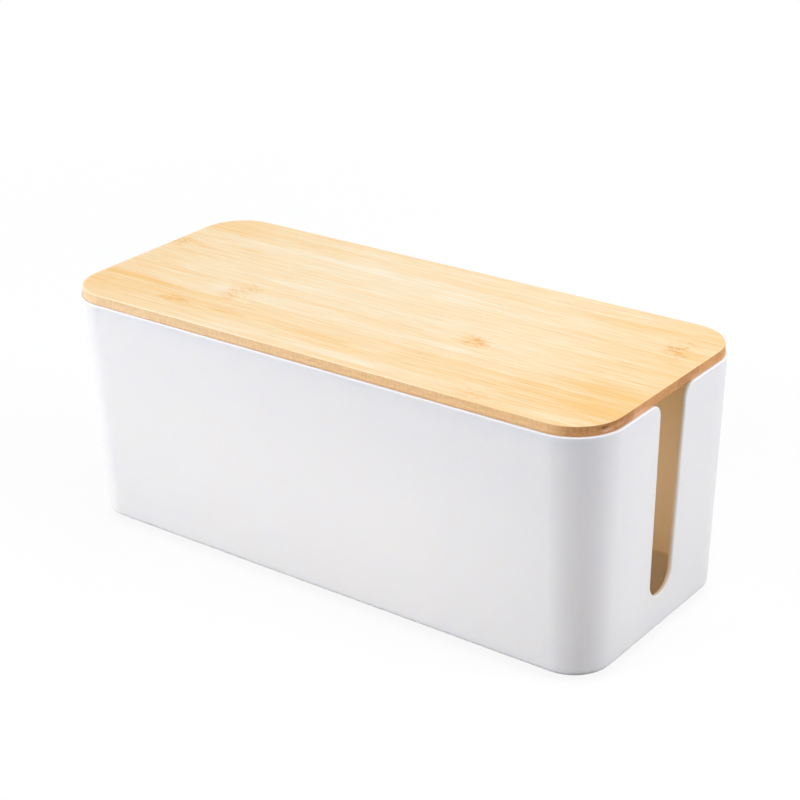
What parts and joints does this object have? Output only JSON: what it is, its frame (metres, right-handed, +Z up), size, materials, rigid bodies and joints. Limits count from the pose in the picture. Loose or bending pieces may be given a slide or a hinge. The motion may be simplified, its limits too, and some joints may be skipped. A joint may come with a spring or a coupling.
{
  "type": "cable management box",
  "caption": "Long rounded tub with a cable slot in each end, covered by a loose bamboo board lid, to hide a power strip and its leads.",
  "frame": {"origin": "on the surface that the feet stand on, under the middle of the box", "axes": "+X along the box's length to the right seen from the front, +Y towards the rear long side, +Z up"},
  "size_m": [0.32, 0.135, 0.13],
  "materials": {
    "white_plastic": "satin moulded, white outside and warm tan inside",
    "bamboo_board": "flat-pressed bamboo strips, sanded and thinly lacquered",
    "bamboo_strip": "sanded bamboo, unlacquered",
    "foot_rubber": "matte"
  },
  "bodies": {
    "box": {"tub": "white_plastic", "front_left_foot": "foot_rubber", "front_right_foot": "foot_rubber", "rear_left_foot": "foot_rubber", "rear_right_foot": "foot_rubber"},
    "lid": {"lid_board": "bamboo_board", "front_locating_strip": "bamboo_strip", "rear_locating_strip": "bamboo_strip"}
  },
  "joints": [
    {"name": "lid_lift", "type": "slide", "parent": "box", "child": "lid", "axis": [0, 0, 1], "range_m": [0, 0.15]}
  ]
}
